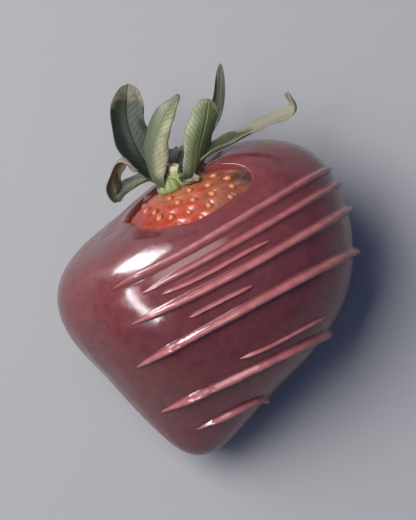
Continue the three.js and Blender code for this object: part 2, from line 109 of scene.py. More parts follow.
# The fruit's own directions: across it, from tip to crown, and out of its upper side.
ACROSS = level(SWING)
ALONG = rising(SWING, LEAN)
UPPER = np.cross(ACROSS, ALONG)

FULLEST_COSINE = (math.sqrt(1 + 8 * TAPER**2) - 1) / (4 * TAPER)
FULLEST = math.sqrt(1 - FULLEST_COSINE**2) * (1 + TAPER * FULLEST_COSINE)


def hump(x, place, spread):
    """A gentle hump of height 1 about a place."""
    return np.exp(-(((x - place) / spread) ** 2))


def smoothstep(x, low, high):
    """0 below low, 1 above high, and smooth between them."""
    share = np.clip((x - low) / (high - low), 0, 1)
    return share * share * (3 - 2 * share)


def waves(parts, around):
    """Unevenness round a ring: a few waves added up."""
    return sum(depth * np.sin(count * around + turn) for count, depth, turn in parts)


def skin_from_middle(from_crown, around):
    """Points of the skin, in mm from the fruit's middle.

    from_crown runs from 0 at the calyx to pi at the tip. around is 0 at the high shoulder and a
    quarter turn on top.
    """
    from_crown, around = np.broadcast_arrays(from_crown, around)
    cosine = np.cos(from_crown)
    sine = np.sin(from_crown)
    girth = sine * (1 + TAPER * cosine) / FULLEST * (1 + waves(LOBES, around) * sine**2)
    side = girth * np.cos(around)
    lift = np.maximum(0, (cosine + SHOULDER_FADE) / (1 + SHOULDER_FADE))
    bulge = hump(from_crown, FLANK_PLACE, FLANK_SPREAD) * ((1 + np.cos(around)) / 2) ** 2
    dimple = hump(from_crown, 0, DIMPLE_SPREAD)
    low_side = (1 - dimple) * ((1 - np.cos(around)) / 2) ** 2
    across = (
        FRUIT_WIDTH / 2 * side
        + FLANK_BULGE * bulge
        + CROWN_SHIFT * hump(from_crown, 0, CROWN_SPREAD)
        + TIP_BEND * ((1 - cosine) / 2) ** TIP_BEND_POWER
    )
    along = (
        FRUIT_LENGTH / 2 * cosine
        + HIGH_SHOULDER * side * lift
        - LOW_SHOULDER_CUT * hump(from_crown, LOW_SHOULDER_PLACE, LOW_SHOULDER_SPREAD) * low_side
        - DIMPLE_DEPTH * dimple
    )
    upper = FRUIT_DEPTH / 2 * girth * np.sin(around)
    return across[..., None] * ACROSS + along[..., None] * ALONG + upper[..., None] * UPPER


# The solid fruit is laid out on this grid, so its place in the frame is found from it.
SOLID_ROWS = 21
SOLID_COLUMNS = 36
solid_grid = skin_from_middle(
    (np.arange(SOLID_ROWS + 2) * np.pi / (SOLID_ROWS + 1))[:, None],
    (np.arange(SOLID_COLUMNS) * 2 * np.pi / SOLID_COLUMNS)[None, :],
).reshape(-1, 3)
fruit_low = np.array(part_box("fruit")[0]) / MM
MIDDLE = np.array((
    fruit_low[0] - solid_grid[:, 0].min(),
    fruit_low[1] - solid_grid[:, 1].min(),
    MIDDLE_HEIGHT,
))


def skin(from_crown, around):
    """Points of the skin in the frame, in mm."""
    return MIDDLE + skin_from_middle(from_crown, around)


def unit(vectors):
    """The same vectors, one long."""
    return vectors / np.linalg.norm(vectors, axis=-1, keepdims=True)


NORMAL_STEP = 0.01


def skin_normal(from_crown, around):
    """The way out of the fruit, square to the skin."""
    inner = np.clip(from_crown, NORMAL_STEP, np.pi - NORMAL_STEP)
    down = skin(inner + NORMAL_STEP, around) - skin(inner - NORMAL_STEP, around)
    onward = skin(inner, around + NORMAL_STEP) - skin(inner, around - NORMAL_STEP)
    return unit(np.cross(onward, down))


def grown_skin(from_crown, around, grown):
    """The skin moved out by so many mm."""
    return skin(from_crown, around) + skin_normal(from_crown, around) * np.asarray(grown)[..., None]


RIM_MEAN = 0.24
RIM_TILT = 0.06
RIM_TILT_PLACE = math.radians(185)
RIM_DROP = 0.428
RIM_DROP_PLACE = math.radians(63)
# How the drop ends to either side: its reach and power by the high shoulder, and away from it.
RIM_DROP_HIGH_SIDE = (math.radians(30.7), 3.57)
RIM_DROP_LOW_SIDE = (math.radians(60.1), 2.73)
RIM_WAVES = ((5, 0.005, 0.4), (8, 0.004, 2.0), (13, 0.0035, 1.1), (21, 0.003, 0.3))


def rim_at(around):
    """Where the chocolate ends, as an angle from the crown: lowest on the upper side."""
    off_drop = (around - RIM_DROP_PLACE + np.pi) % (2 * np.pi) - np.pi
    by_shoulder = off_drop < 0
    reach = np.where(by_shoulder, RIM_DROP_HIGH_SIDE[0], RIM_DROP_LOW_SIDE[0])
    power = np.where(by_shoulder, RIM_DROP_HIGH_SIDE[1], RIM_DROP_LOW_SIDE[1])
    drop = RIM_DROP * np.exp(-((np.abs(off_drop) / reach) ** power))
    tilt = RIM_TILT * np.cos(around - RIM_TILT_PLACE)
    return RIM_MEAN + tilt + drop + waves(RIM_WAVES, around)


SEED_SPACING = 3.0
SPIRAL_PACKING = 0.56
CROWN_REACH = 0.64 * FRUIT_WIDTH
SEED_TRIES = 90
SEED_RIM_CLEARANCE = 1.2
SEED_HUB_CLEARANCE = 0.9
HUB_RADIUS = 2.5
GOLDEN_ANGLE = np.pi * (3 - math.sqrt(5))


def seed_places():
    """Where the seeds in sight are: a golden-angle spiral from the calyx to the rim."""
    number = np.arange(1, SEED_TRIES)
    reach = SEED_SPACING * SPIRAL_PACKING * np.sqrt(number)
    around = number * GOLDEN_ANGLE
    limit = rim_at(around) - SEED_RIM_CLEARANCE / (FRUIT_WIDTH / 2)
    bare = (reach > HUB_RADIUS + SEED_HUB_CLEARANCE) & (reach / CROWN_REACH < limit)
    return reach[bare] / CROWN_REACH, around[bare]


def ring_faces(rings, count):
    """Faces of a closed skin: a first point, rings of so many points, and a last point."""
    ring = np.arange(count)
    after = (ring + 1) % count
    faces = [(0, 1 + b, 1 + a) for a, b in zip(ring, after)]
    for row in range(rings - 1):
        low = 1 + row * count
        high = low + count
        faces += [(low + a, low + b, high + b, high + a) for a, b in zip(ring, after)]
    last = 1 + rings * count
    return faces + [(last, last - count + a, last - count + b) for a, b in zip(ring, after)]


def with_ends(values, first=0.0, last=0.0):
    """Numbers for the points of rings, with those of the first and the last point."""
    return np.concatenate(([first], values, [last]))


def make_piece(name, points, faces, **values):
    """A smooth mesh piece from points in mm. values are numbers for its points, by name."""
    mesh = bpy.data.meshes.new(name)
    mesh.from_pydata((np.asarray(points) * MM).tolist(), [], [tuple(map(int, f)) for f in faces])
    mesh.polygons.foreach_set("use_smooth", [True] * len(mesh.polygons))
    for key, numbers in values.items():
        attribute = mesh.attributes.new(key, "FLOAT", "POINT")
        attribute.data.foreach_set("value", np.asarray(numbers, np.float32))
    piece = bpy.data.objects.new(name, mesh)
    bpy.context.scene.collection.objects.link(piece)
    return piece


def finished(piece, material, slot, *nodes):
    """Gives a piece its material, hangs it from the root, and hides the imported parts it stands
    for.
    """
    piece.data.materials.append(material)
    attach(piece, "root")
    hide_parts(*nodes)


def new_material(name, **finish):
    """A material and its Principled BSDF, with the finish that is the same all over."""
    material = bpy.data.materials.new(name)
    material.use_nodes = True
    shader = material.node_tree.nodes["Principled BSDF"]
    for socket, value in finish.items():
        shader.inputs[socket.replace("_", " ")].default_value = value
    return material, shader


def add_node(tree, kind, **settings):
    """A shader node with its settings."""
    node = tree.nodes.new("ShaderNode" + kind)
    for key, value in settings.items():
        setattr(node, key, value)
    return node


def set_inputs(tree, node, inputs):
    """Sets a node's inputs: a socket is linked, and anything else is a value."""
    for key, value in inputs.items():
        if isinstance(value, bpy.types.NodeSocket):
            tree.links.new(value, node.inputs[key])
        else:
            node.inputs[key].default_value = value
    return node


def noise_at(tree, scale, detail=2.0, roughness=0.5):
    """Smooth noise over the object, of so many features to a metre."""
    place = add_node(tree, "TexCoord").outputs["Object"]
    node = add_node(tree, "TexNoise")
    inputs = {"Vector": place, "Scale": scale, "Detail": detail, "Roughness": roughness}
    return set_inputs(tree, node, inputs).outputs["Fac"]


def value_of(tree, name):
    """A number kept for each point of the mesh."""
    return add_node(tree, "Attribute", attribute_name=name).outputs["Fac"]


def mapped(tree, value, low, high, to_low=0.0, to_high=1.0):
    """value from low..high to to_low..to_high, smooth and held at the ends."""
    node = add_node(tree, "MapRange", interpolation_type="SMOOTHSTEP")
    ends = {"From Min": low, "From Max": high, "To Min": to_low, "To Max": to_high}
    return set_inputs(tree, node, {"Value": value, **ends}).outputs["Result"]


def combined(tree, operation, first, second):
    """Arithmetic on two values."""
    node = add_node(tree, "Math", operation=operation)
    return set_inputs(tree, node, {0: first, 1: second}).outputs[0]


def blended(tree, share, first, second):
    """The first colour with a share of the second mixed in."""
    node = add_node(tree, "Mix", data_type="RGBA")
    return set_inputs(tree, node, {0: share, 6: first, 7: second}).outputs[2]


def bumped(tree, height, distance):
    """A normal from a height, whose full range is so many mm."""
    node = add_node(tree, "Bump")
    return set_inputs(tree, node, {"Height": height, "Distance": distance * MM}).outputs["Normal"]


def colour(red, green, blue):
    """A colour from screen values of 0 to 255."""
    share = np.array((red, green, blue)) / 255
    linear = np.where(share <= 0.04045, share / 12.92, ((share + 0.055) / 1.055) ** 2.4)
    return (*linear.tolist(), 1.0)


# Columns right round, rows over the bare collar, and rows over what the chocolate hides.
FRUIT_COLUMNS = 300
BARE_ROWS = 74
HIDDEN_ROWS = 26
BARE_END = 0.78
# How far the end rows keep off the points at the crown and the tip, in radians.
CROWN_GAP = 0.01
TIP_GAP = 0.06
COLLAR_AT_TIP = 9.0
SEED_DIMPLE = 0.34
SEED_DIMPLE_RADIUS = 0.85
SKIN_PUFF = 0.16
SKIN_PUFF_RADIUS = 1.7
# The relief comes in outside the bed of the stalk, and is gone well under the chocolate.
RELIEF_START = (0.08, 0.16)
RELIEF_END = (0.66, BARE_END)

seed_from_crown, seed_around = seed_places()
seed_points = skin(seed_from_crown, seed_around)


def skin_relief(points, from_crown):
    """How far the bare skin stands out: hollow at each seed, and plump between them."""
    gap = np.linalg.norm(points[:, None, :] - seed_points[None, :, :], axis=2).min(axis=1)
    plump = SKIN_PUFF * (1 - hump(gap, 0, SKIN_PUFF_RADIUS))
    relief = plump - SEED_DIMPLE * hump(gap, 0, SEED_DIMPLE_RADIUS)
    relief = relief * smoothstep(from_crown, *RELIEF_START)
    return relief * (1 - smoothstep(from_crown, *RELIEF_END))


def make_fruit():
    """The whole fruit, fine at the collar."""
    bare = np.linspace(CROWN_GAP, BARE_END, BARE_ROWS)
    hidden = np.linspace(BARE_END, np.pi - TIP_GAP, HIDDEN_ROWS + 1)[1:]
    rows = np.concatenate((bare, hidden))
    columns = np.arange(FRUIT_COLUMNS) * 2 * np.pi / FRUIT_COLUMNS
    from_crown, around = (g.ravel() for g in np.meshgrid(rows, columns, indexing="ij"))
    relief = skin_relief(skin(from_crown, around), from_crown)
    body = grown_skin(from_crown, around, relief)
    points = np.vstack((skin(0.0, 0.0), body, skin(np.pi, 0.0)))
    return make_piece(
        "fruit_flesh",
        points,
        ring_faces(len(rows), FRUIT_COLUMNS),
        collar=with_ends(from_crown / rim_at(around), last=COLLAR_AT_TIP),
        side=with_ends(np.cos(around) * np.sin(from_crown)),
        relief=with_ends(relief),
    )


FLESH_RED = colour(120, 10, 10)
FLESH_ORANGE = colour(170, 55, 26)
FLESH_TAN = colour(144, 82, 56)
FLESH_BRONZE = colour(64, 33, 32)
FLESH_PALE = colour(174, 106, 68)
FLESH_FLECK = colour(182, 114, 66)
# How the red goes over, across the fruit: between which marks, and into what.
RIPENING = (
    (-0.16, 0.12, FLESH_ORANGE),
    (0.24, 0.44, FLESH_TAN),
    (0.44, 0.6, FLESH_BRONZE),
)


def flesh_material():
    """Moist strawberry skin: red on one side to brown on the other, paler at the crown."""
    material, shader = new_material(
        "strawberry_skin",
        Subsurface_Weight=0.3,
        Subsurface_Radius=(1.0, 0.32, 0.16),
        Subsurface_Scale=0.0016,
        Coat_Weight=0.08,
        Coat_Roughness=0.12,
    )
    tree = material.node_tree
    uneven = noise_at(tree, scale=260, detail=3)
    across = combined(tree, "ADD", value_of(tree, "side"), combined(tree, "MULTIPLY", uneven, 0.5))
    skin_tone = FLESH_RED
    for start, end, riper in RIPENING:
        skin_tone = blended(tree, mapped(tree, across, start, end), skin_tone, riper)
    uneven = combined(tree, "MULTIPLY", uneven, 0.3)
    crown = combined(tree, "SUBTRACT", value_of(tree, "collar"), uneven)
    skin_tone = blended(tree, mapped(tree, crown, 0.1, 0.5, 0.75, 0.0), skin_tone, FLESH_PALE)
    fleck = mapped(tree, noise_at(tree, scale=2600, detail=1), 0.6, 0.74, 0, 0.3)
    skin_tone = blended(tree, fleck, skin_tone, FLESH_FLECK)
    hollow = mapped(tree, value_of(tree, "relief"), -0.3, 0.0, 0.42, 0.0)
    set_inputs(tree, shader, {
        "Base Color": blended(tree, hollow, skin_tone, FLESH_PALE),
        "Roughness": mapped(tree, noise_at(tree, scale=900), 0.3, 0.7, 0.24, 0.42),
        "Normal": bumped(tree, noise_at(tree, scale=1500, detail=3), 0.09),
    })
    return material


finished(make_fruit(), flesh_material(), "fruit", "fruit")

# ---- The seeds ----
# Strawberry seeds are dry little grains, each seated in its own dimple of the skin with its
# point towards the calyx. They go from straw yellow to brown.

SEED_LENGTH = 1.5
SEED_WIDTH = 0.95
SEED_HEIGHT = 0.72
SEED_PROUD = 0.3
SEED_BLUNTNESS = 0.28
SEED_SIZES = (0.85, 1.12)
SEED_TWIST = 0.16
SEED_ROWS = 11
SEED_COLUMNS = 14
SEED_DRAWS = 14

draws = np.random.default_rng(SEED_DRAWS)


def seed_grid():
    """One grain about its own middle: x across, y towards its blunt end, z out of the skin."""
    turn = np.linspace(0, np.pi, SEED_ROWS + 2)[1:-1, None]
    around = (np.arange(SEED_COLUMNS) * 2 * np.pi / SEED_COLUMNS)[None, :]
    fullness = np.sin(turn) * (1 + SEED_BLUNTNESS * np.cos(turn))
    x = SEED_WIDTH / 2 * fullness * np.cos(around)
    y = np.broadcast_to(SEED_LENGTH / 2 * np.cos(turn), x.shape)
    z = SEED_HEIGHT / 2 * fullness * np.sin(around)
    grid = np.stack((x, y, z), axis=-1).reshape(-1, 3)
    return np.vstack(((0, SEED_LENGTH / 2, 0), grid, (0, -SEED_LENGTH / 2, 0)))


def make_seeds():
    """All the seeds in sight, each a little different in size, turn and colour."""
    grain = seed_grid()
    grain_faces = ring_faces(SEED_ROWS, SEED_COLUMNS)
    points, faces, ages = [], [], []
    for from_crown, around in zip(seed_from_crown, seed_around):
        out = skin_normal(from_crown, around)
        down = unit(skin(from_crown + NORMAL_STEP, around) - skin(from_crown, around))
        size = draws.uniform(*SEED_SIZES)
        twist = draws.normal(0, SEED_TWIST)
        side = np.cross(down, out)
        blunt = np.cross(out, side) * math.cos(twist) + side * math.sin(twist)
        side = np.cross(blunt, out)
        seat = skin(from_crown, around) + out * (SEED_PROUD - SEED_HEIGHT / 2)
        start = len(points) * len(grain)
        points.append(seat + size * (grain @ np.array((side, blunt, out))))
        faces += [tuple(corner + start for corner in face) for face in grain_faces]
        ages.append(draws.uniform())
    age = np.repeat(ages, len(grain))
    seed_along = np.tile(grain[:, 1] / SEED_LENGTH + 0.5, len(ages))
    return make_piece("seeds", np.vstack(points), faces, age=age, seed_along=seed_along)


SEED_STRAW = colour(190, 112, 66)
SEED_TAWNY = colour(172, 98, 56)
SEED_BROWN = colour(120, 52, 34)


def seed_material():
    """Dry seed coats, browner with age and at the pointed end."""
    material, shader = new_material("seed_coat")
    tree = material.node_tree
    tone = blended(tree, value_of(tree, "age"), SEED_STRAW, SEED_TAWNY)
    pointed_end = mapped(tree, value_of(tree, "seed_along"), 0.75, 0.0)
    tone = blended(tree, combined(tree, "MULTIPLY", pointed_end, 0.7), tone, SEED_BROWN)
    set_inputs(tree, shader, {
        "Base Color": tone,
        "Roughness": mapped(tree, noise_at(tree, scale=3000), 0.3, 0.7, 0.35, 0.6),
        "Normal": bumped(tree, noise_at(tree, scale=5200), 0.05),
    })
    return material


finished(make_seeds(), seed_material(), "fruit", "fruit")

# ---- The calyx ----
# The green crown of a strawberry: a small dome with a cut stalk, and pointed sepals that fold
# up off the fruit. Their faces towards the fruit are pale, the others a fuller green, and their
# tips have begun to dry and curl.

FIT_GAP = 0.3
HUB_HEIGHT = 1.9
STALK_RADIUS = 0.95
STALK_LENGTH = 3.4
STALK_LEAN = math.radians(24)
STALK_SWING = math.radians(3)
SEPAL_THICKNESS = 0.46
SEPAL_TIP_THICKNESS = 0.24
SEPAL_EDGE_THINNING = 0.45
SEPAL_HOLLOW = 0.42
SEPAL_ROOT_OUT = 0.8
SEPAL_ROOT_UP = 0.3
SEPAL_ROWS = 56
SEPAL_COLUMNS = 21
SEPAL_CROWDING = 0.9
SEPAL_FULL = 0.94
SEPAL_START = 0.05
SEPAL_RISE = 0.55
SEPAL_LEAST = 0.1
ROLL_END = 0.5
AIM_STEP = 0.01
MIDRIB_DEPTH = 0.2
MIDRIB_SPREAD = 0.13
SIDE_RIB_DEPTH = 0.07
SIDE_RIB_PLACE = 0.46
SIDE_RIB_SPREAD = 0.09
# Ripples of a blade: how high, and how fast they run along it and across it.
BROAD_RIPPLE = (0.25, 9, 2.2)
EDGE_CRIMP = (0.13, 31, 1.7)
CRIMP_START = (0.1, 0.35)
EDGE_NIBBLE = (0.05, 17, 0)
# Where each sepal leaves the dome in degrees, its width, how evenly it narrows to its tip, the
# roll of its blade, and the route of its middle line from the crown with its tip last.
SEPALS = {
    "a": (165, 5.4, 0.75, 45, (
        (-3.3, 1.6, 1.5), (-3.3, 5.8, 3.7), (-2.1, 9.9, 5.3), (0.6, 13.6, 6.3),
    )),
    "b": (30, 4.1, 0.34, -40, (
        (2.9, 1.7, 2.9), (3.9, 6.1, 4.7), (4.8, 9.7, 5.2), (5.3, 13.0, 4.8),
    )),
    "c": (300, 2.3, 0.6, 40, ((4.2, 7.4, -1.2), (6.6, 12.6, -1.4), (7.1, 19.0, 0))),
    "d": (8, 2.9, 0.45, 20, (
        (5.0, 4.6, 3.0), (9.7, 7.0, 3.2), (14.0, 9.2, 3.2), (18.6, 11.6, 4.4), (17.4, 14.0, 5.6),
    )),
    "e": (205, 2.8, 0.5, -30, (
        (-3.6, 1.2, -0.8), (-6.8, 0, -1.2), (-9.1, -1.4, -0.6), (-9.7, 1.0, 1.2),
        (-7.9, 3.9, 3.2), (-5.7, 1.9, 4.0),
    )),
    "f": (226, 5.0, 0.36, -40, ((-4.9, 4.4, -1.4), (-7.3, 10.4, -0.4), (-7.2, 15.7, 1.4))),
    "g": (252, 4.8, 0.8, 0, ((-3.4, 3.8, -4.8), (-5.2, 5.8, -10.4))),
    "h": (278, 5.0, 0.8, 0, ((0.2, 4.8, -5.0), (0.5, 6.8, -10.8))),
    "i": (322, 4.6, 0.8, 0, ((2.6, 5.6, -3.4), (5.4, 9.6, -8.0))),
    "j": (24, 2.4, 0.6, 0, ((2.4, 0.4, 3.2), (3.8, 0.6, 5.4))),
}
# How far each has dried and from which share of its length on, the strength of its bleached
# strip and its place across the blade from -1 to 1, and how dark its painted shade is.
SEPAL_LOOKS = {
    "a": (0.9, 0.82, 0.75, -0.7, 0.3),
    "b": (0.75, 0.72, 0.45, 0.95, 0.3),
    "c": (0.2, 0.7, 0.2, 0.0, 0.5),
    "d": (1.0, 0.35, 0.6, 0.4, 0.0),
    "e": (1.0, 0.5, 0.5, 0.0, 0.2),
    "f": (0.7, 0.66, 0.1, 0.0, 0.9),
    "g": (0.4, 0.6, 0.2, 0.0, 0.4),
    "h": (0.5, 0.6, 0.2, 0.3, 0.4),
    "i": (0.35, 0.6, 0.3, 0.0, 0.4),
    "j": (0.8, 0.3, 0.9, 0.0, 0.0),
}
STRIP_SPREAD = 0.38
STRIP_START = (0.05, 0.25)
TIP_DRYNESS = 1.4
TIP_DRYING_LENGTH = 0.4
EDGE_DRYNESS = 0.5
DRY_EDGE = 0.55
# The painted shade on a sepal grows towards its root.
ROOT_PAINTED_SHADE = 1.5

STALK = rising(STALK_SWING, STALK_LEAN)
STALK_RIGHT = level(STALK_SWING)
CROWN = grown_skin(np.array(0.0), np.array(0.0), FIT_GAP)
HUB_AXIS = skin_normal(np.array(0.0), np.array(0.0))
CURVE_SAMPLES = 240


def turned(vectors, axis, angle):
    """Vectors turned about an axis. The angle may change from one to the next."""
    angle = np.asarray(angle)[..., None]
    crossed = np.cross(axis, vectors)
    along = np.sum(vectors * axis, axis=-1, keepdims=True) * axis
    return vectors * np.cos(angle) + crossed * np.sin(angle) + along * (1 - np.cos(angle))


def smooth_run(through, shares):
    """Places at shares of the length of a smooth centripetal curve through points."""
    through = np.asarray(through, float)
    ends = np.vstack((2 * through[0] - through[1], through, 2 * through[-1] - through[-2]))
    runs = []
    for a, b, c, d in zip(ends, ends[1:], ends[2:], ends[3:]):
        before, here, after = (math.sqrt(np.linalg.norm(v)) for v in (b - a, c - b, d - c))
        leave = ((b - a) / before - (c - a) / (before + here) + (c - b) / here) * here
        arrive = ((c - b) / here - (d - b) / (here + after) + (d - c) / after) * here
        t = np.linspace(0, 1, CURVE_SAMPLES)[:, None]
        cubic = (2 * b - 2 * c + leave + arrive) * t**3
        runs.append(b + leave * t + (3 * c - 3 * b - 2 * leave - arrive) * t**2 + cubic)
    line = np.vstack(runs)
    reach = np.concatenate(([0], np.cumsum(np.linalg.norm(np.diff(line, axis=0), axis=1))))
    wanted = np.asarray(shares) * reach[-1]
    return np.stack([np.interp(wanted, reach, line[:, k]) for k in range(3)], axis=-1)


def sheet_faces(rows, columns):
    """Faces of a closed thin sheet made of two like grids, the first on top."""
    under = rows * columns
    grid = np.arange(under).reshape(rows, columns)
    faces = []
    corners = grid[:-1, :-1], grid[:-1, 1:], grid[1:, 1:], grid[1:, :-1]
    for a, b, d, c in zip(*(corner.flat for corner in corners)):
        faces.append((a, b, d, c))
        faces.append((under + a, under + c, under + d, under + b))
    border = [*grid[0], *grid[1:, -1], *grid[-1, -2::-1], *grid[-2:0:-1, 0]]
    for a, b in zip(border, border[1:] + border[:1]):
        faces.append((b, a, under + a, under + b))
    return faces


def rippled(ripple, along, across, turn):
    """The height of a ripple over a blade."""
    height, run_along, run_across = ripple
    return height * np.sin(run_along * along + run_across * across + turn)


def make_sepal(name, turn, width, fall, roll, route):
    """One sepal: two like faces a little apart, cupped, with a sunk midrib and a wavy edge."""
    out = turned(STALK_RIGHT, STALK, math.radians(-turn))
    out = unit(out - (out @ HUB_AXIS) * HUB_AXIS)
    onward = np.cross(out, HUB_AXIS)
    root = CROWN + HUB_AXIS * HUB_HEIGHT * SEPAL_ROOT_UP + out * HUB_RADIUS * SEPAL_ROOT_OUT
    shares = np.linspace(0, 1, SEPAL_ROWS) ** SEPAL_CROWDING
    through = np.vstack((root, CROWN + np.array(route)))
    line = smooth_run(through, shares)
    before = smooth_run(through, np.clip(shares - AIM_STEP, 0, 1))
    ahead = unit(smooth_run(through, np.clip(shares + AIM_STEP, 0, 1)) - before)
    side = unit(onward - ahead * (ahead @ onward)[:, None])
    side = turned(side, ahead, math.radians(roll) * smoothstep(shares, 0, ROLL_END))
    up = np.cross(side, ahead)
    blade = (shares + SEPAL_START) ** SEPAL_RISE * (1 - shares) ** fall
    half = SEPAL_FULL * width * blade + SEPAL_LEAST
    thick = SEPAL_THICKNESS + (SEPAL_TIP_THICKNESS - SEPAL_THICKNESS) * shares

    v = np.linspace(-1, 1, SEPAL_COLUMNS)[None, :]
    share = shares[:, None]
    broad = half[:, None]
    wave = rippled(BROAD_RIPPLE, share, v, turn) * np.abs(v)
    crimp = rippled(EDGE_CRIMP, share, v, 2 * turn) * v**4 * smoothstep(share, *CRIMP_START)
    midrib = -MIDRIB_DEPTH * hump(v, 0, MIDRIB_SPREAD)
    ribs = midrib - SIDE_RIB_DEPTH * hump(np.abs(v), SIDE_RIB_PLACE, SIDE_RIB_SPREAD)
    hollow = SEPAL_HOLLOW * broad * v * v + wave + crimp + ribs * (1 - share) * np.minimum(broad, 1)
    faces_apart = thick[:, None] * (1 - SEPAL_EDGE_THINNING * v * v)
    edge = 1 + rippled(EDGE_NIBBLE, share, v, turn) * np.abs(v) ** 3
    middle = line[:, None, :] + side[:, None, :] * (broad * v * edge)[..., None]
    upper = middle + up[:, None, :] * (hollow + faces_apart / 2)[..., None]
    lower = middle + up[:, None, :] * (hollow - faces_apart / 2)[..., None]
    along = np.tile(np.repeat(shares, SEPAL_COLUMNS), 2)
    across = np.tile(v.ravel(), 2 * SEPAL_ROWS)
    dryness, dry_from, bleach, strip, deepness = SEPAL_LOOKS[name]
    dry = TIP_DRYNESS * smoothstep(along, dry_from, dry_from + TIP_DRYING_LENGTH)
    dry += EDGE_DRYNESS * smoothstep(np.abs(across), DRY_EDGE, 1)
    points = np.vstack((upper.reshape(-1, 3), lower.reshape(-1, 3)))
    return make_piece(
        "sepal_" + name,
        points,
        sheet_faces(SEPAL_ROWS, SEPAL_COLUMNS),
        stalk_face=np.repeat((1.0, 0.0), SEPAL_ROWS * SEPAL_COLUMNS),
        leaf_along=along,
        leaf_across=across,
        drying=dryness * dry,
        bleached=bleach * hump(across, strip, STRIP_SPREAD) * smoothstep(along, *STRIP_START),
        deepness=np.minimum(deepness * (ROOT_PAINTED_SHADE - along), 1),
    )


HUB_COLUMNS = 72
STALK_COLUMNS = 48
PROFILE_STEPS = 5
OFF_AXIS = (0.3, 0.2, 1.0)


def rounded_profile(places):
    """A profile with rounded turns: a smooth run through its places of height and radius."""
    flat = [(height, radius, 0.0) for height, radius in places]
    shares = np.linspace(0, 1, PROFILE_STEPS * len(places))
    return [(p[0], max(p[1], 0.0)) for p in smooth_run(flat, shares)]


def turned_on_crown(name, profile, columns, axis, unevenness):
    """A turned piece on the crown, from a profile of height and radius, a little uneven."""
    first = unit(np.cross(axis, OFF_AXIS))
    second = np.cross(axis, first)
    around = -np.arange(columns) * 2 * np.pi / columns
    (low, _), *middle, (high, _) = rounded_profile(profile)
    rings = [
        CROWN + axis * height
        + (radius * (1 + waves(unevenness, around)))[:, None]
        * (np.cos(around)[:, None] * first + np.sin(around)[:, None] * second)
        for height, radius in middle
    ]
    points = np.vstack((CROWN + axis * low, *rings, CROWN + axis * high))
    faces = [face[::-1] for face in ring_faces(len(rings), columns)]
    along = np.repeat(np.linspace(0, 1, len(rings)), columns)
    return make_piece(name, points, faces, piece_along=with_ends(along, last=1.0))


HUB_PROFILE = (
    (-0.6, 0.0),
    (-0.6, HUB_RADIUS * 0.6),
    (-0.15, HUB_RADIUS * 0.95),
    (HUB_HEIGHT * 0.2, HUB_RADIUS),
    (HUB_HEIGHT * 0.62, HUB_RADIUS * 0.82),
    (HUB_HEIGHT * 0.95, HUB_RADIUS * 0.5),
    (HUB_HEIGHT, 0.0),
)
STALK_PROFILE = (
    (0.0, 0.0),
    (0.0, STALK_RADIUS * 1.5),
    (HUB_HEIGHT, STALK_RADIUS * 1.25),
    (STALK_LENGTH * 0.55, STALK_RADIUS * 0.92),
    (STALK_LENGTH * 0.93, STALK_RADIUS),
    (STALK_LENGTH, STALK_RADIUS * 0.85),
    (STALK_LENGTH * 0.95, STALK_RADIUS * 0.35),
    (STALK_LENGTH * 0.93, 0.0),
)
HUB_UNEVENNESS = ((5, 0.09, 0.4), (10, 0.05, 1.0))
STALK_UNEVENNESS = ((5, 0.04, 1.2), (9, 0.025, 0.2))


def new_group(name, kinds):
    """A shader group for a colour, a roughness and a height, and what it is given."""
    group = bpy.data.node_groups.new(name, "ShaderNodeTree")
    results = {"Color": "Color", "Roughness": "Float", "Height": "Float"}
    for way, sockets in (("INPUT", kinds), ("OUTPUT", results)):
        for socket, kind in sockets.items():
            group.interface.new_socket(name=socket, in_out=way, socket_type="NodeSocket" + kind)
    return group, group.nodes.new("NodeGroupInput").outputs


def leaf_tissue():
    """Shader group: living leaf, from smooth green to dry, with veins, mottling and down."""
    kinds = {"Green": "Color", "Pale": "Color", "Dry": "Color", "Vein": "Float", "Drying": "Float"}
    group, given = new_group("leaf_tissue", kinds)
    mottle = mapped(group, noise_at(group, scale=700, detail=4, roughness=0.6), 0.34, 0.7)
    fine = noise_at(group, scale=3600)
    tone = blended(group, combined(group, "MULTIPLY", mottle, 0.45), given["Green"], given["Pale"])
    tone = blended(group, combined(group, "MULTIPLY", given["Vein"], 0.6), tone, given["Pale"])
    dried = combined(group, "ADD", given["Drying"], combined(group, "MULTIPLY", mottle, 0.3))
    dried = mapped(group, dried, 0.55, 0.95)
    tone = blended(group, dried, tone, given["Dry"])
    down = blended(group, mapped(group, fine, 0.35, 0.75, 0.0, 0.28), tone, given["Pale"])
    raised = combined(group, "MULTIPLY", fine, 0.4)
    set_inputs(group, group.nodes.new("NodeGroupOutput"), {
        "Color": down,
        "Roughness": mapped(group, dried, 0, 1, 0.5, 0.72),
        "Height": combined(group, "SUBTRACT", raised, given["Vein"]),
    })
    return group


LEAF_TISSUE = leaf_tissue()
LEAF_GREEN = colour(44, 54, 32)
LEAF_PALE = colour(78, 90, 58)
LEAF_UNDER = colour(78, 92, 44)
LEAF_UNDER_PALE = colour(102, 114, 70)
LEAF_BLEACHED = colour(188, 186, 146)
# The dark green that painted shade blends a sepal towards.
LEAF_PAINTED_SHADE = colour(19, 32, 26)
LEAF_DRY = colour(132, 127, 102)
HUB_GREEN = colour(108, 126, 58)
HUB_PALE = colour(160, 164, 110)
STALK_GREEN = colour(196, 188, 140)
STALK_CUT = colour(224, 212, 170)
VEIN_PAIRS = 17
VEIN_SLANT = 0.15
NEVER_CUT = (2.0, 3.0)
CUT_STALK = (0.66, 0.8)


def with_tissue(tree, shader, inputs, bump):
    """Places the leaf tissue in a material and feeds the shader from it."""
    tissue = add_node(tree, "Group", node_tree=LEAF_TISSUE)
    set_inputs(tree, tissue, inputs)
    set_inputs(tree, shader, {
        "Base Color": tissue.outputs["Color"],
        "Roughness": tissue.outputs["Roughness"],
        "Normal": bumped(tree, tissue.outputs["Height"], bump),
    })


